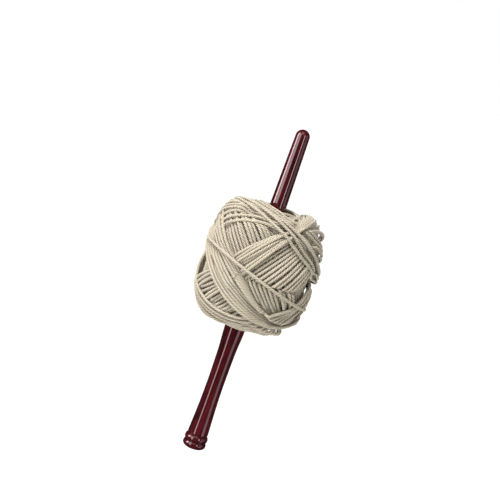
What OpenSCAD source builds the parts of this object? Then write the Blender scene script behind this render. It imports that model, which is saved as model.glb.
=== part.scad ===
// Nostepinne: a turned hand-winding stick that carries a cross-wound ball of yarn.
// Millimetres, +Z from the butt to the tip, origin at the centre of the butt's flat foot.

/* [Shaft] */
// Height of the fullest point, where the ball wedges
wedge_z = 104; // [86:1:125]
// Diameter at the fullest point
wedge_d = 16.2; // [13.5:0.1:19.5]
// Length of the bare taper from the fullest point to the tip
taper_l = 156; // [130:1:188]
// Diameter of the taper halfway up
mid_d = 13.4; // [12.4:0.1:13.5]
// Diameter where the rounded tip begins
tip_d = 10.9; // [9:0.1:12]

/* [Handle] */
// Height of the thinnest point of the handle
waist_z = 54.5; // [45:0.5:66]
// Diameter at the thinnest point
waist_d = 13.2; // [11:0.1:13.4]
// Diameter of the flare above the beads
flare_d = 16; // [13.5:0.1:17]

/* [Beads] */
// Diameter of both turned beads
bead_d = 18.2; // [17.5:0.1:22]
// Height of one bead
bead_h = 4.8; // [4:0.1:5.8]
// Depth of the groove round each bead
groove_depth = 1.4; // [0.8:0.1:2]
// Height of the small neck between the upper bead and the flare
neck_h = 2; // [1.6:0.1:3]
// Depth of that neck under the flare
neck_depth = 0.6; // [0.3:0.1:1]
// Diameter of the flat foot under the lower bead
foot_d = 9.5; // [8:0.1:12]
// Height of the rounded foot, up to the middle of the lower bead
foot_h = 3.4; // [2.8:0.1:4.2]

/* [Ball of yarn] */
// Diameter of the ball at its middle
ball_d = 88; // [72:1:106]
// Height of the ball along the stick
ball_h = 98; // [80:1:118]
// Drop from the fullest point of the shaft to the ball's lower end
ball_drop = 3; // [1:0.5:6]
// How far the ball's middle stands to one side of the stick
ball_lean = 2.5; // [0:0.1:5]
// Squareness of the ball's upper shoulder
top_power = 3.3; // [2.2:0.1:4]
// Squareness of the ball's lower shoulder
base_power = 2.9; // [2.2:0.1:4]
// Thickness of the outer bands of yarn
outer_band_t = 9; // [6:0.5:12]
// Thickness of one layer of yarn
yarn_d = 2.6; // [2:0.1:3.2]
// Number of layers of straight wraps against the stick
starter_layers = 2; // [1:1:3]
// Height of crossed wraps over each end of the starter wraps
starter_cover = 5; // [3:0.5:10]

/* [Sliding fit] */
// Room between the stick and the yarn, so that the ball slides
slide_gap = 0.3; // [0.2:0.05:0.5]
// How much wider the hole's lower mouth opens
mouth_flare = 0.4; // [0.2:0.1:1]

/* [Hidden] */
eps = 0.01;

bead_r = bead_d / 2;
groove_r = bead_r - groove_depth;
upper_bead_z = foot_h + bead_h + 0.2;
flare_z = upper_bead_z + bead_h / 2 + neck_h;
neck_r = flare_d / 2 - neck_depth;
tip_z = wedge_z + taper_l - tip_d / 2;
ball_z0 = wedge_z - ball_drop;
ball_z1 = ball_z0 + ball_h;
ball_mid_z = ball_z0 + ball_h / 2;
starter_z0 = ball_z0 + outer_band_t + starter_cover;
starter_z1 = ball_z1 - outer_band_t - starter_cover;
arc_steps = 14;
bore_steps = 12;

// The shaft's outline from the flare to the rounded tip is one smooth curve
// through these [height, radius] stations, which keep their order at any size
SHAFT = [
    [flare_z, flare_d / 2],
    [(flare_z + waist_z) / 2, waist_d / 2 + 0.15 * (flare_d - waist_d)],
    [waist_z, waist_d / 2],
    [waist_z + 0.54 * (wedge_z - waist_z), waist_d / 2 + 0.13 * (wedge_d - waist_d)],
    [waist_z + 0.80 * (wedge_z - waist_z), waist_d / 2 + 0.40 * (wedge_d - waist_d)],
    [wedge_z, wedge_d / 2],
    [(wedge_z + tip_z) / 2, mid_d / 2],
    [tip_z, tip_d / 2]
];
FULLEST = 5;

// Slope of the curve at a station, from its two neighbours; level at the fullest point
function slope(i) =
    let (a = SHAFT[max(i - 1, 0)], b = SHAFT[min(i + 1, len(SHAFT) - 1)])
    i == FULLEST ? 0 : (b[1] - a[1]) / (b[0] - a[0]);

// Cubic curve from station i to the next, at share t of the way
function between(i, t) =
    let (
        p = SHAFT[i],
        q = SHAFT[i + 1],
        w = q[0] - p[0],
        t2 = t * t,
        t3 = t2 * t
    )
    (2 * t3 - 3 * t2 + 1) * p[1] + (t3 - 2 * t2 + t) * w * slope(i)
    + (3 * t2 - 2 * t3) * q[1] + (t3 - t2) * w * slope(i + 1);

// Radius of the shaft at a height
function shaft_r(z, i = 0) =
    i >= len(SHAFT) - 2 || z <= SHAFT[i + 1][0]
        ? between(i, (z - SHAFT[i][0]) / (SHAFT[i + 1][0] - SHAFT[i][0]))
        : shaft_r(z, i + 1);

// Points [radius, height] up the shaft's surface from z0 to z1, moved out by grow
function shaft_side(z0, z1, steps, grow = 0, first = 0) = [
    for (k = [first:steps])
        let (z = z0 + (z1 - z0) * k / steps)
        [shaft_r(z) + grow, z]
];

// Points round part of an ellipse in [radius, height], from angle a0 to angle a1
function arc(cr, cz, rr, rz, a0, a1, steps) = [
    for (k = [0:steps])
        let (a = a0 + (a1 - a0) * k / steps)
        [cr + rr * cos(a), cz + rz * sin(a)]
];

// Outline of half the ball, from its middle to its upper (up = 1) or lower (up = -1) pole
function shoulder(power, up, layer) = [
    for (k = [0:arc_steps])
        let (a = 90 * k / arc_steps)
        [
            (ball_d / 2 - layer) * pow(cos(a), 2 / power),
            ball_mid_z + up * (ball_h / 2 - layer) * pow(sin(a), 2 / power)
        ]
];

// Outline of the ball, smaller by layer all round
function ball_outline(layer) =
    let (base = shoulder(base_power, -1, layer))
    concat([for (k = [arc_steps:-1:1]) base[k]], shoulder(top_power, 1, layer));

// The ball, smaller by layer all round, with its middle to one side of the stick
module ball_solid(layer) {
    translate([ball_lean, 0, 0])
        rotate_extrude($fn = 96)
            polygon(ball_outline(layer));
}

// The room of the starter wraps, the stick included
module starter_room() {
    wrap_t = slide_gap + starter_layers * yarn_d;
    rotate_extrude($fn = 64)
        polygon(concat(
            [[0, starter_z0]],
            shaft_side(starter_z0, starter_z1, bore_steps, wrap_t),
            [[0, starter_z1]]
        ));
}

// The hole down the yarn, which clears the shaft all the way up the taper
module bore() {
    mouth_r = wedge_d / 2 + slide_gap + mouth_flare;
    rotate_extrude($fn = 64)
        polygon(concat(
            [[0, ball_z0 - eps], [mouth_r, ball_z0 - eps]],
            shaft_side(wedge_z, ball_z1 + eps, bore_steps, slide_gap),
            [[0, ball_z1 + eps]]
        ));
}

// The turned stick: foot, two beads, waisted handle, tapering shaft and rounded tip
module stick() {
    color("#4a1016")
        rotate_extrude($fn = 96)
            polygon(concat(
                [[0, 0]],
                arc(foot_d / 2, foot_h, bead_r - foot_d / 2, foot_h, -90, 0, 10),
                arc(groove_r, foot_h, groove_depth, bead_h / 2, 9, 81, 8),
                arc(groove_r, upper_bead_z, groove_depth, bead_h / 2, -81, 81, 18),
                arc(neck_r, flare_z, neck_depth, 0.75 * neck_h, -90, -15, 5),
                shaft_side(flare_z, wedge_z, 32),
                shaft_side(wedge_z, tip_z, 20, first = 1),
                arc(0, tip_z, tip_d / 2, tip_d / 2, 7.5, 82.5, 10),
                [[0, tip_z + tip_d / 2]]
            ));
}

// The first straight wraps, which hold the yarn on the shaft
module starter_wraps() {
    color("#b7aa90")
        difference() {
            starter_room();
            bore();
        }
}

// The crossed wraps that build up the body of the ball
module inner_winding() {
    color("#a79a80")
        difference() {
            ball_solid(outer_band_t);
            starter_room();
            bore();
        }
}

// The last bands of yarn, wound over the body of the ball
module outer_winding() {
    color("#c9bda3")
        difference() {
            ball_solid(0);
            ball_solid(outer_band_t);
            bore();
        }
}

stick();
starter_wraps();
inner_winding();
outer_winding();
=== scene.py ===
"""Looks of a nostepinne, a turned stick with a ball of plied yarn wound on it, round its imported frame."""

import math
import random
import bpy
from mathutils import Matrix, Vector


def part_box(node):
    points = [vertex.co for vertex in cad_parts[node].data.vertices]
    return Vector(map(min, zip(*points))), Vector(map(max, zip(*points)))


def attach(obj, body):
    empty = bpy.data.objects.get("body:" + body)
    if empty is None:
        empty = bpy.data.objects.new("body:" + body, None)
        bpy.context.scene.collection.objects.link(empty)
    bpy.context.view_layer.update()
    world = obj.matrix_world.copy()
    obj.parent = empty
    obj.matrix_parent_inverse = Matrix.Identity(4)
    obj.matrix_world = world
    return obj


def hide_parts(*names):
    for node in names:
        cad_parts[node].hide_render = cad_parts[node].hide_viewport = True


bl_info = {
    "name": "Nostepinne with a wound ball",
    "version": (1, 0, 0),
    "blender": (4, 5, 0),
    "location": "3D View > Sidebar > Nostepinne",
    "description": "Lacquers the turned stick and winds the ball of yarn wrap by wrap",
    "category": "Add Mesh",
}

from collections import namedtuple

import bmesh
import bpy
import numpy as np
from bpy.props import (
    FloatProperty,
    FloatVectorProperty,
    IntProperty,
    PointerProperty,
)
from mathutils import Matrix, Vector, kdtree

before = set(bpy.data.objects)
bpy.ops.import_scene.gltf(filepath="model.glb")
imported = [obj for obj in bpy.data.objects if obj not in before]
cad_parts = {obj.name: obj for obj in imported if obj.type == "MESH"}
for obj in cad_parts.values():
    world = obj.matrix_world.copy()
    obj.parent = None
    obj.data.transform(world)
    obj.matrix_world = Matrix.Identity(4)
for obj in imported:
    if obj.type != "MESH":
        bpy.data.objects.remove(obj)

MM = 0.001


# ---------------------------------------------------------------- colours and shader nodes


def linear(text, alpha=True):
    """An sRGB hex colour as linear values."""
    values = [int(text[i : i + 2], 16) / 255 for i in (1, 3, 5)]
    out = [v / 12.92 if v <= 0.04045 else ((v + 0.055) / 1.055) ** 2.4 for v in values]
    return (*out, 1.0) if alpha else tuple(out)


def new_material(name):
    """An empty node material and its tree."""
    material = bpy.data.materials.new(name)
    material.use_nodes = True
    material.node_tree.nodes.clear()
    return material, material.node_tree


def add_node(tree, kind, inputs=None, stops=(), **settings):
    """Adds a node, sets its properties, and fills or links the inputs given by name or number.

    The stops are a ramp's two ends, each as (place, linear colour)."""
    node = tree.nodes.new(kind)
    for name, value in settings.items():
        setattr(node, name, value)
    for number, (place, colour) in enumerate(stops):
        node.color_ramp.elements[number].position = place
        node.color_ramp.elements[number].color = colour
    for key, value in (inputs or {}).items():
        socket = node.inputs[key]
        if isinstance(value, bpy.types.NodeSocket):
            tree.links.new(value, socket)
        else:
            socket.default_value = value
    return node


# ---------------------------------------------------------------- what a user would change


class NOSTE_PG_stick(bpy.types.PropertyGroup):
    """The stick's wood"""

    wood: FloatVectorProperty(
        name="Stained wood",
        description="Dark red of the stained rosewood under the lacquer",
        subtype="COLOR",
        size=4,
        default=linear("#4f1117"),
    )
    grain: FloatVectorProperty(
        name="Dark grain",
        description="Colour of the dark vessel lines in the wood",
        subtype="COLOR",
        size=4,
        default=linear("#1d0406"),
    )
    grain_width: FloatProperty(
        name="Grain width",
        description="Distance from one dark growth line to the next, across the stick",
        subtype="DISTANCE",
        unit="LENGTH",
        default=2.2 * MM,
    )


class NOSTE_PG_yarn(bpy.types.PropertyGroup):
    """The plied yarn"""

    thickness: FloatProperty(
        name="Yarn thickness",
        description="Diameter over the crowns of the plies",
        subtype="DISTANCE",
        unit="LENGTH",
        default=2.45 * MM,
    )
    plies: IntProperty(
        name="Plies",
        description="Strands that are twisted together",
        default=3,
    )
    pitch: FloatProperty(
        name="Twist pitch",
        description="Length of one full turn of the plies",
        subtype="DISTANCE",
        unit="LENGTH",
        default=8.1 * MM,
    )
    light: FloatVectorProperty(
        name="Wool",
        description="Natural pale beige of the wool",
        subtype="COLOR",
        size=4,
        default=linear("#cbc2ae"),
    )
    # Painted shade: a darker, greyer beige that the materials paint into the grooves between the plies and
    # over the ball's core, where shade falls.
    painted_shade: FloatVectorProperty(
        name="Wool in the grooves",
        description="The greyer, deeper beige between the plies",
        subtype="COLOR",
        size=4,
        default=linear("#867a66"),
    )


class NOSTE_PG_ball(bpy.types.PropertyGroup):
    """The form of the wound ball"""

    stand_out: FloatProperty(
        name="Stand-out",
        description="How far the soft outer strands stand proud of the CAD ball",
        subtype="DISTANCE",
        unit="LENGTH",
        default=1.2 * MM,
    )
    crown: FloatProperty(
        name="Crown",
        description="How much higher the strands pile at the ball's top",
        subtype="DISTANCE",
        unit="LENGTH",
        default=2.4 * MM,
    )
    sag: FloatProperty(
        name="Sag",
        description="How much lower the strands hang at the ball's bottom",
        subtype="DISTANCE",
        unit="LENGTH",
        default=1.8 * MM,
    )
    core_inset: FloatProperty(
        name="Core inset",
        description="Depth of the crossed wraps over the loose core",
        subtype="DISTANCE",
        unit="LENGTH",
        default=9.5 * MM,
    )
    core_end_inset: FloatProperty(
        name="Core inset at the ends",
        description="Depth of the wraps over the core at the ball's top and bottom",
        subtype="DISTANCE",
        unit="LENGTH",
        default=6 * MM,
    )
    top_power: FloatProperty(
        name="Upper squareness",
        description="Squareness of the ball's upper shoulder",
        default=3.2,
    )
    base_power: FloatProperty(
        name="Lower squareness",
        description="Squareness of the ball's lower shoulder",
        default=2.8,
    )


class NOSTE_PG_stage(bpy.types.PropertyGroup):
    """The camera and the floor"""

    elevation: FloatProperty(
        name="Camera height",
        description="Angle of the camera above the middle of the stick",
        subtype="ANGLE",
        default=math.radians(10),
    )
    lean: FloatProperty(
        name="Lean",
        description="How far the stick leans to the right in the picture",
        subtype="ANGLE",
        default=math.radians(19.4),
    )
    distance: FloatProperty(
        name="Camera distance",
        description="Distance from the camera to the stick",
        subtype="DISTANCE",
        unit="LENGTH",
        default=1.2,
    )
    width: FloatProperty(
        name="Width in view",
        description="Width that the picture takes in at the stick",
        subtype="DISTANCE",
        unit="LENGTH",
        default=0.3774,
    )
    floor_radius: FloatProperty(
        name="Floor radius",
        description="Reach of the floor round the stick",
        subtype="DISTANCE",
        unit="LENGTH",
        default=14.0,
    )
    floor_drop: FloatProperty(
        name="Floor below the butt",
        description="Distance from the held stick's foot down to the floor",
        subtype="DISTANCE",
        unit="LENGTH",
        default=0.3,
    )


# ---------------------------------------------------------------- the shape that the yarn is wound on


class Barrel:
    """A round barrel form, whose outline is a superellipse, in metres about its own middle."""

    def __init__(self, radius, half_height, top_power, base_power):
        self.radius = radius
        self.half_height = half_height
        self.top_power = top_power
        self.base_power = base_power

    def reach(self, directions):
        """Distance from the middle to the surface in each direction."""
        across = np.hypot(directions[:, 0], directions[:, 1]) / self.radius
        rise = np.abs(directions[:, 2]) / self.half_height
        n = np.where(directions[:, 2] > 0, self.top_power, self.base_power)
        return (across**n + rise**n) ** (-1 / n)


# A band of wraps. Each wrap goes once round the stick in a tilted plane:
# tilt is the plane's angle from level, high the compass angle of its highest point (-90 faces the
# front, 0 the right), offset is the angle by which it is lifted off the ball's middle, the steps
# change them from wrap to wrap, and loose is how much the wrap drifts sideways.
Band = namedtuple("Band", "wraps tilt high offset tilt_step high_step offset_step loose")


def band(wraps, tilt, high, offset=0, tilt_step=0, high_step=0, offset_step=0, loose=1.0):
    """A band of wraps, where what isn't given stays as it is from wrap to wrap."""
    return Band(wraps, tilt, high, offset, tilt_step, high_step, offset_step, loose)


def wraps_of(one):
    """The (tilt, high, offset, loose) of each wrap in a band."""
    return [
        (
            one.tilt + i * one.tilt_step,
            one.high + i * one.high_step,
            one.offset + i * one.offset_step,
            one.loose,
        )
        for i in range(one.wraps)
    ]


def together(*bands):
    """The wraps of several bands, one band after another."""
    return [wrap for one in bands for wrap in wraps_of(one)]


def in_turn(first, second):
    """The wraps of two bands laid by turns, which makes a herringbone where they cross."""
    out = []
    for a, b in zip(wraps_of(first), wraps_of(second)):
        out += [a, b]
    return out


def wrap_directions(tilt, high, offset, count, wander):
    """Directions from the ball's middle along one wrap, as unit vectors."""
    turn = np.linspace(0, 2 * math.pi, count, endpoint=False)
    t, a = math.radians(tilt), math.radians(high)
    level = np.array([-math.sin(a), math.cos(a), 0.0])
    climb = np.array([math.cos(t) * math.cos(a), math.cos(t) * math.sin(a), math.sin(t)])
    across = np.cross(climb, level)
    if across[2] < 0:
        across = -across
    lift = np.tan(math.radians(offset) + wander(turn))
    out = np.outer(np.cos(turn), level) + np.outer(np.sin(turn), climb) + np.outer(lift, across)
    return out / np.linalg.norm(out, axis=1)[:, None]


def smoothed(values, passes):
    """Values round a closed loop, each averaged with its neighbours."""
    for _ in range(passes):
        values = (np.roll(values, 1) + 2 * values + np.roll(values, -1)) / 4
    return values


class Winding:
    """The ball as it grows: lays one wrap after another over what is already there.

    A wrap is kept as its directions from the ball's middle and its height over the core."""

    # How far a fully loose wrap drifts sideways
    DRIFT = math.radians(1.2)
    # How often a bridged dip is worked out again, and how far a wrap may hang over the yarn
    # under it, as a share of its thickness
    BRIDGE_PASSES = 200
    MOST_BRIDGED = 0.7
    # Points that wait for the next search tree
    TREE_BATCH = 3000
    # How far round a lookout counts as near it, and how widely lookouts and strands share
    # what they see, as shares of that
    PRESS_ANGLE = math.radians(12)
    LOOKOUT_SPREAD = 1.2
    STRAND_SPREAD = 0.7
    # The share, in percent, of the strands that lie under the height that is pressed to the form
    TALLEST = 90
    # How much a low place may be raised, and how softly the form holds back a high one
    MOST_RAISED = 1.3
    GIVE = 1.0 * MM
    # Passes of smoothing along a wrap after each step
    LAY_SMOOTHING = 5
    PRESS_SMOOTHING = 4
    SETTLE_SMOOTHING = 3

    def __init__(self, core, form, thickness, seed):
        self.core = core
        self.form = form
        self.thickness = thickness
        self.random = random.Random(seed)
        self.forget()
        self.wraps = []
        up, around = np.meshgrid(
            np.linspace(-math.pi / 2, math.pi / 2, 19),
            np.linspace(0, 2 * math.pi, 36, endpoint=False),
            indexing="ij",
        )
        level = np.cos(up)
        lookouts = np.stack([level * np.cos(around), level * np.sin(around), np.sin(up)], axis=2)
        self.lookouts = lookouts.reshape(-1, 3)

    def forget(self):
        """Empties the search tree."""
        self.places = self.fresh_places = np.zeros((0, 3))
        self.heights = self.fresh_heights = np.zeros(0)
        self.tree = None

    def remember(self, places, heights):
        """Adds a wrap to what the next wraps are tested against."""
        self.fresh_places = np.concatenate([self.fresh_places, places])
        self.fresh_heights = np.concatenate([self.fresh_heights, heights])
        if len(self.fresh_places) > self.TREE_BATCH:
            self.plant_tree()

    def plant_tree(self):
        """Moves the newest wraps into the search tree."""
        self.places = np.concatenate([self.places, self.fresh_places])
        self.heights = np.concatenate([self.heights, self.fresh_heights])
        self.fresh_places = np.zeros((0, 3))
        self.fresh_heights = np.zeros(0)
        self.tree = kdtree.KDTree(len(self.places))
        for i, place in enumerate(self.places):
            self.tree.insert(place, i)
        self.tree.balance()

    def outer_places(self, directions):
        """Places just under the ball's form, where the distance between wraps is measured."""
        return directions * (self.form.reach(directions) - self.thickness)[:, None]

    def least_height(self, places, stack, floor):
        """The height over the core that a wrap needs at these places to clear the yarn under it."""
        reach = self.thickness
        least = np.full(len(places), floor)
        if self.tree is not None:
            height = self.heights
            for k, place in enumerate(places):
                for _, i, gap in self.tree.find_range(place, reach):
                    need = height[i] + stack * math.sqrt(reach * reach - gap * gap)
                    if need > least[k]:
                        least[k] = need
        if len(self.fresh_places):
            apart = np.linalg.norm(places[:, None] - self.fresh_places[None], axis=2)
            room = stack * np.sqrt(np.maximum(reach**2 - apart**2, 0))
            need = np.where(apart < reach, self.fresh_heights[None] + room, floor)
            least = np.maximum(least, need.max(axis=1))
        return least

    def wander(self, amount):
        """A slow sideways drift along a wrap, as a hand leaves it."""
        waves = [
            (k, self.random.uniform(-1, 1) * amount / k, self.random.uniform(0, 2 * math.pi))
            for k in (1, 2, 3, 5)
        ]
        return lambda turn: sum(size * np.sin(k * turn + phase) for k, size, phase in waves)

    def lay(self, tilt, high, offset, loose, stack, step):
        """Lays one wrap: pulled tight, it bridges the dips, and bends only as far as it must."""
        count = int(2.1 * math.pi * self.form.radius / step)
        wander = self.wander(self.DRIFT * loose)
        directions = wrap_directions(tilt, high, offset, count, wander)
        surface = self.core.reach(directions)
        places = self.outer_places(directions)
        least = surface + self.least_height(places, stack, self.thickness / 2)
        turn_before = np.einsum("ij,ij->i", directions, np.roll(directions, 1, axis=0))
        turn_after = np.roll(turn_before, -1)
        reach = least.copy()
        for _ in range(self.BRIDGE_PASSES):
            chord = (np.roll(reach, 1) * turn_before + np.roll(reach, -1) * turn_after) / 2
            reach = np.maximum(least, chord)
        reach = np.minimum(reach, least + self.MOST_BRIDGED * self.thickness)
        reach = smoothed(reach, self.LAY_SMOOTHING)
        self.remember(places, reach - surface)
        self.wraps.append((directions, reach - surface))

    def press(self, inset):
        """Presses the wound ball to its form, less an inset, before the next wraps go over it."""
        grid, wide, give = self.lookouts, self.PRESS_ANGLE, self.GIVE
        every = np.concatenate([d for d, _ in self.wraps])
        height = np.concatenate([h for _, h in self.wraps])
        near = grid @ every.T > math.cos(wide)
        tallest = np.array(
            [np.percentile(height[row], self.TALLEST) if row.any() else 0 for row in near]
        )
        spread = np.exp((grid @ grid.T - 1) / (1 - math.cos(self.LOOKOUT_SPREAD * wide)))
        tallest = spread @ tallest / spread.sum(axis=1)
        pressed = []
        for directions, height in self.wraps:
            weight = np.exp((directions @ grid.T - 1) / (1 - math.cos(wide * self.STRAND_SPREAD)))
            local = weight @ tallest / weight.sum(axis=1)
            core = self.core.reach(directions)
            room = self.form.reach(directions) - inset - self.thickness / 2 - core
            height = height * np.minimum(room / local, self.MOST_RAISED)
            over = np.maximum(height - (room - give), 0)
            height = np.minimum(height, room - give) + 2 * give * np.tanh(over / (2 * give))
            pressed.append((directions, smoothed(height, self.PRESS_SMOOTHING)))
        self.wraps = pressed
        self.forget()
        for directions, height in pressed:
            self.remember(self.outer_places(directions), height)

    def settle(self, stack):
        """Sinks each older wrap under the newer ones that cross it, so that the order shows."""
        self.forget()
        settled = []
        for directions, height in reversed(self.wraps):
            places = self.outer_places(directions)
            top = -self.least_height(places, stack, -1.0)
            height = np.maximum(np.minimum(height, top), self.thickness / 2)
            height = smoothed(height, self.SETTLE_SMOOTHING)
            self.remember(places, -height)
            settled.append((directions, height))
        self.wraps = settled[::-1]

    def centrelines(self):
        """The centreline of every wrap, about the ball's middle."""
        return [d * (self.core.reach(d) + h)[:, None] for d, h in self.wraps]


def even_steps(line, step):
    """A closed line with its points an even step apart."""
    closed = np.vstack([line, line[:1]])
    lengths = np.linalg.norm(np.diff(closed, axis=0), axis=1)
    along = np.concatenate([[0], np.cumsum(lengths)])
    count = max(int(round(along[-1] / step)), 12)
    places = np.linspace(0, along[-1], count, endpoint=False)
    return np.stack([np.interp(places, along, closed[:, k]) for k in range(3)], axis=1)


def shaft_radius(heights):
    """Radius of the shaft at these heights, from the CAD stick's own outline."""
    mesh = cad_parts["stick"].data
    points = np.zeros(len(mesh.vertices) * 3)
    mesh.vertices.foreach_get("co", points)
    points = points.reshape(-1, 3)
    outline = {round(float(z), 5): 0.0 for z in points[:, 2]}
    for x, y, z in points:
        key = round(float(z), 5)
        outline[key] = max(outline[key], math.hypot(x, y))
    levels = sorted(outline)
    return np.interp(heights, levels, [outline[z] for z in levels])


def widest_shaft():
    """Radius of the shaft where the ball wedges, its fullest point inside the ball."""
    low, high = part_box("outer_winding")
    return float(shaft_radius(np.linspace(low.z, high.z, 50)).max())


# Room between the stick and the yarn
STICK_GAP = 0.35 * MM
COIL_LAYERS = 2
# Distance from one turn of the coil to the next, in yarn thicknesses, and points in each turn
COIL_SPACING = 1.03
COIL_POINTS = 40


def coil_radius(yarn):
    """Outer radius of the starter coil."""
    return widest_shaft() + STICK_GAP + COIL_LAYERS * yarn.thickness


def starter_coil(yarn):
    """Centreline of the straight wraps on the shaft, up and then back down over themselves."""
    low, high = (corner.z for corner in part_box("starter_wraps"))
    low, high = low + yarn.thickness / 2, high - yarn.thickness / 2
    turns = (high - low) / (COIL_SPACING * yarn.thickness)
    share = np.linspace(0, 1, int(turns * COIL_POINTS))
    line = []
    for layer in range(COIL_LAYERS):
        rise = share if layer % 2 == 0 else 1 - share
        z = low + (high - low) * rise
        angle = 2 * math.pi * turns * (share + layer)
        step_out = np.clip(share * turns, 0, 1) if layer else 1
        radius = shaft_radius(z) + STICK_GAP + (layer - 0.5 + step_out) * yarn.thickness
        line.append(np.stack([radius * np.cos(angle), radius * np.sin(angle), z], axis=1))
    return np.concatenate(line)


# ---------------------------------------------------------------- yarn as plied strands

# Radius of the yarn's outline at the places round each ply, the first of them in the groove,
# as shares of the radius over the plies' crowns
PLY_OUTLINE = (0.70, 0.97, 0.97)
# Each strand's fibres start anywhere in this many millimetres of yarn
LONGEST_START = 4000
# Points nearer than this are one point
MERGE = 1e-6


def ply_section(name, yarn):
    """The cross-section of the plied yarn: a round lobe for each ply, with a groove between."""
    section = bpy.data.curves.new(name, "CURVE")
    section.dimensions = "2D"
    crown = yarn.thickness / 2
    points = [
        (crown * share, -2 * math.pi * (ply + k / len(PLY_OUTLINE)) / yarn.plies)
        for ply in range(yarn.plies)
        for k, share in enumerate(PLY_OUTLINE)
    ]
    spline = section.splines.new("POLY")
    spline.points.add(len(points) - 1)
    for point, (radius, angle) in zip(spline.points, points):
        point.co = (radius * math.cos(angle), radius * math.sin(angle), 0, 1)
    spline.use_cyclic_u = True
    section_object = bpy.data.objects.new(name, section)
    bpy.context.scene.collection.objects.link(section_object)
    return section_object


def plied_strands(name, lines, yarn, seed, closed=True):
    """One mesh piece of plied yarn that follows each line, with its length in mm along U."""
    section = ply_section(name + "_section", yarn)
    curve = bpy.data.curves.new(name + "_path", "CURVE")
    curve.dimensions = "3D"
    curve.bevel_mode = "OBJECT"
    curve.bevel_object = section
    curve.use_fill_caps = True
    curve.twist_mode = "MINIMUM"
    lengths = []
    for line in lines:
        ends = np.vstack([line, line[:1]]) if closed else line
        length = float(np.linalg.norm(np.diff(ends, axis=0), axis=1).sum())
        lobes = max(round(length / yarn.pitch * yarn.plies), 1)
        twist = -2 * math.pi * lobes / yarn.plies
        share = np.arange(len(line)) / (len(line) if closed else len(line) - 1)
        spline = curve.splines.new("POLY")
        spline.points.add(len(line) - 1)
        spline.points.foreach_set("co", np.c_[line, np.ones(len(line))].ravel())
        spline.points.foreach_set("tilt", twist * share)
        spline.use_cyclic_u = closed
        spline.use_smooth = True
        lengths.append((len(line) if closed else len(line) - 1, length))
    path = bpy.data.objects.new(name + "_path", curve)
    bpy.context.scene.collection.objects.link(path)
    bpy.context.view_layer.update()
    graph = bpy.context.evaluated_depsgraph_get()
    mesh = bpy.data.meshes.new_from_object(path.evaluated_get(graph), depsgraph=graph)
    mesh.name = name
    for used in (path, section):
        data = used.data
        bpy.data.objects.remove(used)
        bpy.data.curves.remove(data)
    scale_lengths(mesh, lengths, yarn, seed)
    build = bmesh.new()
    build.from_mesh(mesh)
    bmesh.ops.remove_doubles(build, verts=build.verts, dist=MERGE)
    build.to_mesh(mesh)
    build.free()
    mesh.shade_smooth()
    piece = bpy.data.objects.new(name, mesh)
    bpy.context.scene.collection.objects.link(piece)
    return piece


def scale_lengths(mesh, lengths, yarn, seed):
    """Turns each strand's U from a share of its length into millimetres, each with its own start."""
    uv = np.zeros(len(mesh.loops) * 2, np.float32)
    mesh.uv_layers[0].data.foreach_get("uv", uv)
    uv = uv.reshape(-1, 2)
    rng = random.Random(seed)
    sides = len(PLY_OUTLINE) * yarn.plies
    start = 0
    for rings, length in lengths:
        end = start + rings * sides * 4
        uv[start:end, 0] = uv[start:end, 0] * length / MM + rng.uniform(0, LONGEST_START)
        start = end
    mesh.uv_layers[0].data.foreach_set("uv", uv.ravel())


def finish_piece(piece, body, slot, material, *nodes):
    """Gives a piece its material and its body, and hides the CAD nodes that it stands for; the slot is not
    used.
    """
    piece.data.materials.clear()
    piece.data.materials.append(material)
    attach(piece, body)
    if nodes:
        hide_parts(*nodes)


# ---------------------------------------------------------------- materials

# Repeats in a metre along the stick of the growth figure, one each 45 mm, and across and along
# it of the vessel lines, 0.24 mm wide and 8 mm long
FIGURE_ALONG = 22
VESSELS = (4200, 4200, 130)


def lacquered_rosewood(stick):
    """Rosewood, stained dark red and lacquered: deep colour with fine dark lines along the stick,
    under a clear coat that shows each lamp as a sharp streak."""
    material, tree = new_material("lacquered_rosewood")
    place = add_node(tree, "ShaderNodeTexCoord")
    across = 1 / stick.grain_width
    stretched = add_node(
        tree,
        "ShaderNodeMapping",
        {"Vector": place.outputs["Object"], "Scale": (across, across, FIGURE_ALONG)},
    )
    figure = add_node(
        tree,
        "ShaderNodeTexNoise",
        {"Vector": stretched.outputs["Vector"], "Scale": 1.0, "Detail": 4.0, "Roughness": 0.6},
    )
    fine = add_node(
        tree,
        "ShaderNodeMapping",
        {"Vector": place.outputs["Object"], "Scale": VESSELS},
    )
    vessels = add_node(
        tree,
        "ShaderNodeTexNoise",
        {"Vector": fine.outputs["Vector"], "Scale": 1.0, "Detail": 2.0, "Roughness": 0.5},
    )
    both = add_node(
        tree,
        "ShaderNodeMath",
        {0: figure.outputs["Fac"], 1: vessels.outputs["Fac"]},
        operation="MULTIPLY",
    )
    colour = add_node(
        tree,
        "ShaderNodeValToRGB",
        {"Fac": both.outputs[0]},
        stops=[(0.16, stick.grain), (0.36, stick.wood)],
    )
    bump = add_node(
        tree,
        "ShaderNodeBump",
        {"Height": vessels.outputs["Fac"], "Strength": 0.04, "Distance": 0.1 * MM},
    )
    shader = add_node(
        tree,
        "ShaderNodeBsdfPrincipled",
        {
            "Base Color": colour.outputs["Color"],
            "Roughness": 0.32,
            "IOR": 1.5,
            "Specular IOR Level": 0.0,
            "Coat Weight": 1.0,
            "Coat Roughness": 0.045,
            "Coat IOR": 1.5,
            "Normal": bump.outputs["Normal"],
        },
    )
    add_node(tree, "ShaderNodeOutputMaterial", {"Surface": shader.outputs["BSDF"]})
    return material


# Repeats of the wool's fibres in a millimetre of yarn and in once round it: each shows as a
# stroke about 2 mm long. A real fibre is a tenth as wide, too fine to show.
FIBRES = (0.55, 42.0, 1.0)
# The wool's tone changes over about 30 mm of yarn, and not round it
TONE_DRIFT = (0.035, 0.0, 1.0)


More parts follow.
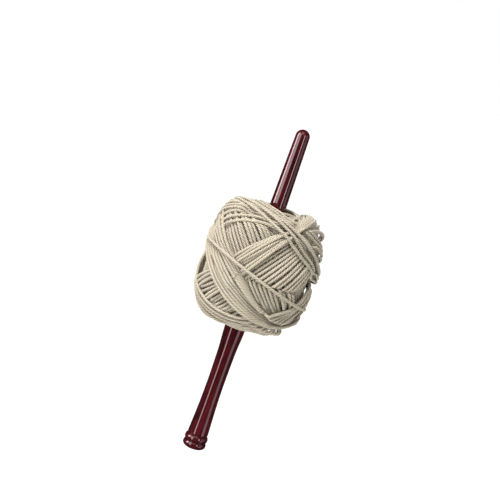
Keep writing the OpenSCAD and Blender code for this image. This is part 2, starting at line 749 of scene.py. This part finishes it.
def plied_wool(yarn):
    """Plied wool: matte, with soft fibres that catch the light at the edges, and painted shade that darkens
    the grooves between the plies.
    """
    material, tree = new_material("plied_wool")
    where = add_node(tree, "ShaderNodeUVMap", uv_map="UVMap")
    split = add_node(tree, "ShaderNodeSeparateXYZ", {"Vector": where.outputs["UV"]})
    plies = add_node(
        tree,
        "ShaderNodeMath",
        {0: split.outputs["Y"], 1: float(yarn.plies)},
        operation="MULTIPLY",
    )
    across_ply = add_node(tree, "ShaderNodeMath", {0: plies.outputs[0]}, operation="FRACT")
    folded = add_node(
        tree, "ShaderNodeMath", {0: across_ply.outputs[0], 1: 0.5}, operation="SUBTRACT"
    )
    depth = add_node(tree, "ShaderNodeMath", {0: folded.outputs[0]}, operation="ABSOLUTE")
    # Painted shade: the colour turns to the painted shade colour towards the grooves between the plies.
    groove = add_node(
        tree,
        "ShaderNodeMapRange",
        {"Value": depth.outputs[0], "From Min": 0.28, "From Max": 0.5, "To Min": 0.0, "To Max": 0.85},
    )
    fibre_place = add_node(
        tree,
        "ShaderNodeMapping",
        {"Vector": where.outputs["UV"], "Scale": FIBRES},
    )
    fibres = add_node(
        tree,
        "ShaderNodeTexNoise",
        {"Vector": fibre_place.outputs["Vector"], "Scale": 1.0, "Detail": 3.0, "Roughness": 0.62},
    )
    fibre_tone = add_node(
        tree,
        "ShaderNodeMapRange",
        {"Value": fibres.outputs["Fac"], "From Min": 0.3, "From Max": 0.7, "To Min": 0.42, "To Max": 0.0},
    )
    length_place = add_node(
        tree,
        "ShaderNodeMapping",
        {"Vector": where.outputs["UV"], "Scale": TONE_DRIFT},
    )
    slow = add_node(
        tree,
        "ShaderNodeTexNoise",
        {"Vector": length_place.outputs["Vector"], "Scale": 1.0, "Detail": 2.0},
    )
    slow_tone = add_node(
        tree,
        "ShaderNodeMapRange",
        {"Value": slow.outputs["Fac"], "From Min": 0.3, "From Max": 0.7, "To Min": 0.14, "To Max": 0.0},
    )
    tones = add_node(
        tree, "ShaderNodeMath", {0: fibre_tone.outputs[0], 1: slow_tone.outputs[0]}, operation="ADD"
    )
    # The painted groove shade, plus the fibres' and the length's random tone.
    share = add_node(
        tree,
        "ShaderNodeMath",
        {0: groove.outputs[0], 1: tones.outputs[0]},
        operation="ADD",
        use_clamp=True,
    )
    colour = add_node(
        tree,
        "ShaderNodeValToRGB",
        {"Fac": share.outputs[0]},
        stops=[(0.0, yarn.light), (1.0, yarn.painted_shade)],
    )
    bump = add_node(
        tree,
        "ShaderNodeBump",
        {"Height": fibres.outputs["Fac"], "Strength": 0.55, "Distance": 0.25 * MM},
    )
    shader = add_node(
        tree,
        "ShaderNodeBsdfPrincipled",
        {
            "Base Color": colour.outputs["Color"],
            "Roughness": 0.9,
            "Specular IOR Level": 0.2,
            "Sheen Weight": 0.25,
            "Sheen Roughness": 0.5,
            "Normal": bump.outputs["Normal"],
        },
    )
    add_node(tree, "ShaderNodeOutputMaterial", {"Surface": shader.outputs["BSDF"]})
    return material


# Length of one ridge of a wave texture at a scale of 1
WAVE_PERIOD = 0.314
# Width of the tufts of fibre between the ridges, and their darkest colour, a painted deep shade
TUFT = 0.6 * MM
PAINTED_DEEP_SHADE = "#665b49"


def packed_wool_painted_shade(yarn):
    """The wool deep in the ball: strands pressed flat, seen only in the gaps as soft ridges, all painted
    dark as the shade that falls there.
    """
    material, tree = new_material("packed_wool_painted_shade")
    place = add_node(tree, "ShaderNodeTexCoord")
    turned = add_node(
        tree,
        "ShaderNodeMapping",
        {"Vector": place.outputs["Object"], "Rotation": (0.6, 0.5, 0.3)},
    )
    ridges = add_node(
        tree,
        "ShaderNodeTexWave",
        {
            "Vector": turned.outputs["Vector"],
            "Scale": WAVE_PERIOD / yarn.thickness,
            "Distortion": 3.0,
            "Detail": 2.0,
            "Detail Scale": 0.4,
        },
        bands_direction="Z",
    )
    fibres = add_node(
        tree,
        "ShaderNodeTexNoise",
        {"Vector": place.outputs["Object"], "Scale": 1.0 / TUFT, "Detail": 3.0},
    )
    both = add_node(
        tree,
        "ShaderNodeMath",
        {0: ridges.outputs["Fac"], 1: fibres.outputs["Fac"]},
        operation="MULTIPLY",
    )
    # Painted shade: the core's colour runs from a painted deep shade to the painted groove shade, darker
    # than the wool that lies over it.
    colour = add_node(
        tree,
        "ShaderNodeValToRGB",
        {"Fac": both.outputs[0]},
        stops=[(0.05, linear(PAINTED_DEEP_SHADE)), (0.6, yarn.painted_shade)],
    )
    bump = add_node(
        tree,
        "ShaderNodeBump",
        {"Height": both.outputs[0], "Strength": 0.6, "Distance": 0.8 * MM},
    )
    shader = add_node(
        tree,
        "ShaderNodeBsdfPrincipled",
        {
            "Base Color": colour.outputs["Color"],
            "Roughness": 0.95,
            "Specular IOR Level": 0.1,
            "Normal": bump.outputs["Normal"],
        },
    )
    add_node(tree, "ShaderNodeOutputMaterial", {"Surface": shader.outputs["BSDF"]})
    return material


def matte_paper(name, colour):
    """White studio paper: matte, with no gloss."""
    material, tree = new_material(name)
    shader = add_node(
        tree,
        "ShaderNodeBsdfPrincipled",
        {"Base Color": colour, "Roughness": 1.0, "Specular IOR Level": 0.0},
    )
    add_node(tree, "ShaderNodeOutputMaterial", {"Surface": shader.outputs["BSDF"]})
    return material


# ---------------------------------------------------------------- operators


# How far the strands' middle lies from the CAD ball's, to the left
SIDE_SHIFT = -0.7 * MM
# How much rounder the core's shoulders are than the ball's
CORE_ROUNDER = 0.2


def ball_numbers():
    """The finished ball's form, the core that the wraps lie on, and their middle, from the frame."""
    look = bpy.context.scene.noste_ball
    low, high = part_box("outer_winding")
    middle = (low + high) / 2 + Vector((SIDE_SHIFT, 0, (look.crown - look.sag) / 2))
    radius = (high.y - low.y) / 2 + look.stand_out
    half_height = (high.z - low.z + look.crown + look.sag) / 2 + look.stand_out
    form = Barrel(radius, half_height, look.top_power, look.base_power)
    core = Barrel(
        radius - look.core_inset,
        half_height - look.core_end_inset,
        look.top_power - CORE_ROUNDER,
        look.base_power - CORE_ROUNDER,
    )
    return form, core, middle


class NOSTE_OT_stick(bpy.types.Operator):
    """Gives the turned stick its lacquered wood"""

    bl_idname = "noste.stick"
    bl_label = "Lacquer the stick"

    def execute(self, context):
        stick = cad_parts["stick"]
        stick.data.materials.clear()
        stick.data.materials.append(lacquered_rosewood(context.scene.noste_stick))
        return {"FINISHED"}


class NOSTE_OT_core(bpy.types.Operator):
    """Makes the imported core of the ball, hollow where the starter coil and the stick go"""

    bl_idname = "noste.core"
    bl_label = "Make the ball's core"

    # Room round the shaft, and width of the flat rim round the hole
    HOLE_ROOM = 0.6 * MM
    RIM = 2.5 * MM
    # The core leans to one side from this far outside the coil, and fully this much further out
    LEAN_FROM = 1 * MM
    LEAN_OVER = 8 * MM
    OUTLINE_STEPS = 40
    ROUND_STEPS = 96

    def execute(self, context):
        yarn = context.scene.noste_yarn
        _, barrel, middle = ball_numbers()
        build = bmesh.new()
        outline = [build.verts.new(point) for point in self.outline(barrel, middle, yarn)]
        edges = [build.edges.new(pair) for pair in zip(outline, outline[1:] + outline[:1])]
        bmesh.ops.spin(
            build,
            geom=outline + edges,
            axis=(0, 0, 1),
            cent=(0, 0, 0),
            angle=2 * math.pi,
            steps=self.ROUND_STEPS,
            use_merge=True,
        )
        bmesh.ops.remove_doubles(build, verts=build.verts, dist=MERGE)
        lean_from = coil_radius(yarn) + self.LEAN_FROM
        for vert in build.verts:
            out = (math.hypot(vert.co.x, vert.co.y) - lean_from) / self.LEAN_OVER
            vert.co.x += middle.x * min(max(out, 0), 1)
        bmesh.ops.recalc_face_normals(build, faces=build.faces)
        mesh = bpy.data.meshes.new("ball_core")
        build.to_mesh(mesh)
        build.free()
        mesh.shade_smooth()
        core = bpy.data.objects.new("ball_core", mesh)
        context.scene.collection.objects.link(core)
        finish_piece(core, "ball", "wool_yarn", packed_wool_painted_shade(yarn), "inner_winding")
        return {"FINISHED"}

    def outline(self, barrel, middle, yarn):
        """The core's half section: its outside from bottom to top, then the hole back down."""
        hole = widest_shaft() + self.HOLE_ROOM
        steepest = math.atan2(barrel.half_height, hole + self.RIM)
        outside = []
        for k in range(self.OUTLINE_STEPS + 1):
            angle = steepest * (2 * k / self.OUTLINE_STEPS - 1)
            toward = Vector((math.cos(angle), 0, math.sin(angle)))
            reach = float(barrel.reach(np.array([toward]))[0])
            outside.append(toward * reach + Vector((0, 0, middle.z)))
        pocket = coil_radius(yarn)
        low, high = (corner.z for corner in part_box("starter_wraps"))
        inside = [(hole, outside[-1].z), (hole, high), (pocket, high)]
        inside += [(pocket, low), (hole, low), (hole, outside[0].z)]
        return outside + [Vector((radius, 0, z)) for radius, z in inside]


# Distance between the points along a wrap
STEP = 0.9 * MM
# How much of the yarn's thickness a strand keeps over an older one when the whole ball settles
SETTLED_STACK = 0.6


def winding_plan():
    """The pieces in the order in which they are wound. Each is its name, how much of the yarn's
    thickness one strand rises over another, the inset that the ball is then pressed to, and its wraps."""
    golden = 137.5
    deep = band(16, 64, 77, tilt_step=-1.5, high_step=golden)
    steep = band(34, 74.5, 20, tilt_step=-0.53, high_step=golden)
    ends = band(8, 27, 10, 34, high_step=golden)
    ends_low = band(8, 27, 100, -36, high_step=golden)
    side = in_turn(
        band(16, 50, 142, high_step=-5.6),
        band(16, 48, -42, high_step=-5.6),
    )
    front = in_turn(
        band(16, 53, 50, high_step=-5.6, loose=0.7),
        band(16, 54, -142, tilt_step=-0.5, high_step=-5.4, loose=0.7),
    )
    arcs = band(3, 44, -90, 3, tilt_step=0.5, high_step=-3, offset_step=3.8, loose=0.4)
    rising = band(3, 46, -26, 10, tilt_step=1.5, high_step=3.4, offset_step=-1, loose=0.4)
    rising_low = band(2, 54.7, -12, 4, tilt_step=1, high_step=4, loose=0.4)
    left_rim = band(4, 45, 161, -1, tilt_step=-3.2, high_step=1.5, offset_step=-2.6, loose=0.3)
    right_rim = band(9, 36.4, 71.6, -4.8, tilt_step=0.5, high_step=-1.2, offset_step=-3.7, loose=0.5)
    low_band = band(6, 35.2, 158, -9.2, tilt_step=0.2, high_step=-6.8, offset_step=0.9, loose=0.3)
    shoulder = band(4, 35, -104, 20, tilt_step=-1.2, high_step=-7, offset_step=2.4, loose=0.4)
    right_shoulder = band(5, 22, -146, 38, offset_step=4, loose=0.4)
    corner = band(4, 54, -1, 13, tilt_step=-3, high_step=-1.2, offset_step=1.4, loose=0.3)
    shoulder_edge = band(2, 30, -143, 31, tilt_step=-1.4, high_step=-3.2, offset_step=-3, loose=0.3)
    last = band(1, 18.9, -163.9, -5.3, loose=0.2)
    return [
        ("deep_wraps", 0.45, None, together(deep)),
        ("under_wraps", 0.45, None, together(steep)),
        ("end_wraps", 0.5, None, in_turn(ends, ends_low)),
        ("side_wraps", 0.6, 7.4 * MM, side),
        ("front_wraps", 0.85, 3.6 * MM, front),
        (
            "crossing_bands",
            0.85,
            2.4 * MM,
            together(right_shoulder, arcs, corner, rising, rising_low, left_rim),
        ),
        ("lower_bands", 0.85, 1.6 * MM, together(right_rim, low_band)),
        ("shoulder_bands", 0.55, 0.3 * MM, together(shoulder, shoulder_edge, last)),
    ]


class NOSTE_OT_winding(bpy.types.Operator):
    """Coils the starter wraps on the shaft, then winds the crossed wraps and the outer bands"""

    bl_idname = "noste.winding"
    bl_label = "Wind the yarn"

    def execute(self, context):
        yarn = context.scene.noste_yarn
        form, core, middle = ball_numbers()
        winding = Winding(core, form, yarn.thickness, seed=7)
        plan = winding_plan()
        for _, stack, inset, wraps in plan:
            for wrap in wraps:
                winding.lay(*wrap, stack, STEP)
            if inset is not None:
                winding.press(inset)
        winding.settle(SETTLED_STACK)
        lines = [
            self.clear_of_stick(line + np.array(middle), yarn) for line in winding.centrelines()
        ]
        wool = plied_wool(yarn)
        coil = plied_strands("starter_coil", [starter_coil(yarn)], yarn, seed=40, closed=False)
        finish_piece(coil, "ball", "wool_yarn", wool, "starter_wraps")
        for number, (name, _, _, wraps) in enumerate(plan):
            own, lines = lines[: len(wraps)], lines[len(wraps) :]
            piece = plied_strands(name, own, yarn, seed=number)
            finish_piece(piece, "ball", "wool_yarn", wool, "outer_winding")
        return {"FINISHED"}

    def clear_of_stick(self, line, yarn):
        """Moves a wrap's points off the stick where it passes it."""
        across = np.hypot(line[:, 0], line[:, 1])
        need = shaft_radius(line[:, 2]) + yarn.thickness / 2 + STICK_GAP
        line[:, :2] *= np.maximum(need / np.maximum(across, MERGE), 1)[:, None]
        return even_steps(line, STEP)


# A soft box: around is its compass angle from the camera, bottom and top its edges' heights in
# metres; one that fills lights the yarn too, the others show only in the lacquer.
SoftBox = namedtuple("SoftBox", "name around away width bottom top brightness fills")
SOFT_BOXES = (
    SoftBox("left_box", -76, 1.0, 0.36, -0.03, 1.1, 19.0, False),
    SoftBox("left_fill", -43, 1.0, 0.6, -0.03, 1.1, 3.6, True),
    SoftBox("left_glow", -41, 0.99, 0.5, -0.03, 1.1, 3.0, False),
    SoftBox("low_left_box", -36, 1.0, 0.24, -0.5, -0.05, 8.0, False),
    SoftBox("right_box", 35, 1.1, 0.2, -0.03, 1.0, 11.0, False),
    SoftBox("low_right_box", 60, 1.1, 0.6, -0.5, -0.05, 2.6, False),
    SoftBox("right_fill", 78, 1.1, 0.7, -0.03, 1.0, 0.9, True),
)
TOP_BOX = SoftBox("top_box", -20, 1.2, 0.9, -0.3, 0.6, 2.0, True)
TOP_LIFT = math.radians(60)
# The boxes that light the yarn are white, and the ones that show only in the lacquer are pink
LAMP_WHITE = "#ffffff"
LAMP_PINK = "#ffdde2"
# The sky's brightness as the background, as light on the yarn, and in the lacquer
SKY_SEEN = 1.0
SKY_LIGHT = 0.42
SKY_IN_GLOSS = 0.06
# The high lamp, which comes from the upper left, in front
LAMP_STRENGTH = 2.9
LAMP_SPREAD = math.radians(30)
LAMP_FROM = Vector((-0.45, -0.6, 1.3))
# The point of the stick that the camera looks at
TARGET = Vector((-8.9 * MM, 0, 160.6 * MM))


class NOSTE_OT_stage(bpy.types.Operator):
    """Sets the pale floor, the soft lights and the camera"""

    bl_idname = "noste.stage"
    bl_label = "Set the stage"

    def execute(self, context):
        stage = context.scene.noste_stage
        self.floor(context, stage)
        self.lights(context)
        self.camera(context, stage)
        return {"FINISHED"}

    def floor(self, context, stage):
        """A wide, pale, level floor."""
        build = bmesh.new()
        bmesh.ops.create_circle(build, cap_ends=True, radius=stage.floor_radius, segments=96)
        bmesh.ops.translate(build, verts=build.verts, vec=(0, 0, -stage.floor_drop))
        mesh = bpy.data.meshes.new("floor")
        build.to_mesh(mesh)
        build.free()
        floor = bpy.data.objects.new("floor", mesh)
        floor.data.materials.append(matte_paper("studio_paper", linear("#f6f6f6")))
        floor.visible_glossy = False
        context.scene.collection.objects.link(floor)

    def lights(self, context):
        """A high, soft lamp, soft boxes beside and above the camera, and an even pale sky."""
        world = bpy.data.worlds.new("studio")
        world.use_nodes = True
        tree = world.node_tree
        tree.nodes.clear()
        path = add_node(tree, "ShaderNodeLightPath")
        seen, soft, dim = (
            add_node(tree, "ShaderNodeBackground", {"Color": linear("#ffffff"), "Strength": strength})
            for strength in (SKY_SEEN, SKY_LIGHT, SKY_IN_GLOSS)
        )
        lit = add_node(
            tree,
            "ShaderNodeMixShader",
            {
                "Fac": path.outputs["Is Glossy Ray"],
                1: soft.outputs["Background"],
                2: dim.outputs["Background"],
            },
        )
        mixed = add_node(
            tree,
            "ShaderNodeMixShader",
            {
                "Fac": path.outputs["Is Camera Ray"],
                1: lit.outputs["Shader"],
                2: seen.outputs["Background"],
            },
        )
        add_node(tree, "ShaderNodeOutputWorld", {"Surface": mixed.outputs["Shader"]})
        context.scene.world = world
        sun = bpy.data.lights.new("high_lamp", "SUN")
        sun.energy = LAMP_STRENGTH
        sun.angle = LAMP_SPREAD
        high = bpy.data.objects.new("high_lamp", sun)
        high.visible_glossy = False
        high.rotation_mode = "QUATERNION"
        high.rotation_quaternion = LAMP_FROM.to_track_quat("Z", "Y")
        context.scene.collection.objects.link(high)
        for box in SOFT_BOXES:
            self.soft_box(context, box)
        self.soft_box(context, TOP_BOX, lift=TOP_LIFT)

    def soft_box(self, context, box, lift=0.0):
        """One rectangular lamp that faces the stick; some light only the gloss."""
        height = box.top - box.bottom
        lamp = bpy.data.lights.new(box.name, "AREA")
        lamp.shape = "RECTANGLE"
        lamp.size = box.width
        lamp.size_y = height
        lamp.energy = box.brightness * math.pi * box.width * height
        lamp.color = linear(LAMP_WHITE if box.fills else LAMP_PINK, alpha=False)
        held = bpy.data.objects.new(box.name, lamp)
        held.visible_diffuse = box.fills
        turn = math.radians(box.around)
        toward = Vector(
            (
                math.sin(turn) * math.cos(lift),
                -math.cos(turn) * math.cos(lift),
                math.sin(lift),
            )
        )
        held.location = toward * box.away + Vector((0, 0, (box.top + box.bottom) / 2))
        held.rotation_mode = "QUATERNION"
        held.rotation_quaternion = toward.to_track_quat("Z", "Y")
        context.scene.collection.objects.link(held)

    def camera(self, context, stage):
        """A long lens, a little above the stick's middle, rolled so that the stick leans."""
        lens = bpy.data.cameras.new("camera")
        lens.sensor_width = 36
        lens.lens = lens.sensor_width * stage.distance / stage.width
        lens.clip_start = 0.01
        camera = bpy.data.objects.new("camera", lens)
        e, roll = stage.elevation, stage.lean
        up = Vector((0, math.sin(e), math.cos(e)))
        back = Vector((0, -math.cos(e), math.sin(e)))
        side = Vector((1, 0, 0))
        right = math.cos(roll) * side + math.sin(roll) * up
        above = math.cos(roll) * up - math.sin(roll) * side
        turned = Matrix((right, above, back)).transposed().to_4x4()
        camera.matrix_world = Matrix.Translation(TARGET + back * stage.distance) @ turned
        context.scene.collection.objects.link(camera)
        context.scene.camera = camera
        context.scene.view_settings.view_transform = "Standard"


class NOSTE_PT_panel(bpy.types.Panel):
    """Lists the steps that make the nostepinne"""

    bl_idname = "NOSTE_PT_panel"
    bl_label = "Nostepinne"
    bl_space_type = "VIEW_3D"
    bl_region_type = "UI"
    bl_category = "Nostepinne"

    def draw(self, context):
        for step in STEPS:
            self.layout.operator(step.bl_idname)


STEPS = (NOSTE_OT_stage, NOSTE_OT_stick, NOSTE_OT_core, NOSTE_OT_winding)
GROUPS = {
    "noste_stick": NOSTE_PG_stick,
    "noste_yarn": NOSTE_PG_yarn,
    "noste_ball": NOSTE_PG_ball,
    "noste_stage": NOSTE_PG_stage,
}


def register():
    """Registers the classes and hangs the groups of settings on the scene."""
    for one in (*GROUPS.values(), *STEPS, NOSTE_PT_panel):
        bpy.utils.register_class(one)
    for name, group in GROUPS.items():
        setattr(bpy.types.Scene, name, PointerProperty(type=group))


def unregister():
    """Takes away what register adds."""
    for name in GROUPS:
        delattr(bpy.types.Scene, name)
    for one in reversed((*GROUPS.values(), *STEPS, NOSTE_PT_panel)):
        bpy.utils.unregister_class(one)


def main():
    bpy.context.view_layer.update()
    register()
    bpy.ops.noste.stage()
    bpy.ops.noste.stick()
    bpy.ops.noste.core()
    bpy.ops.noste.winding()


if __name__ == "__main__":
    main()
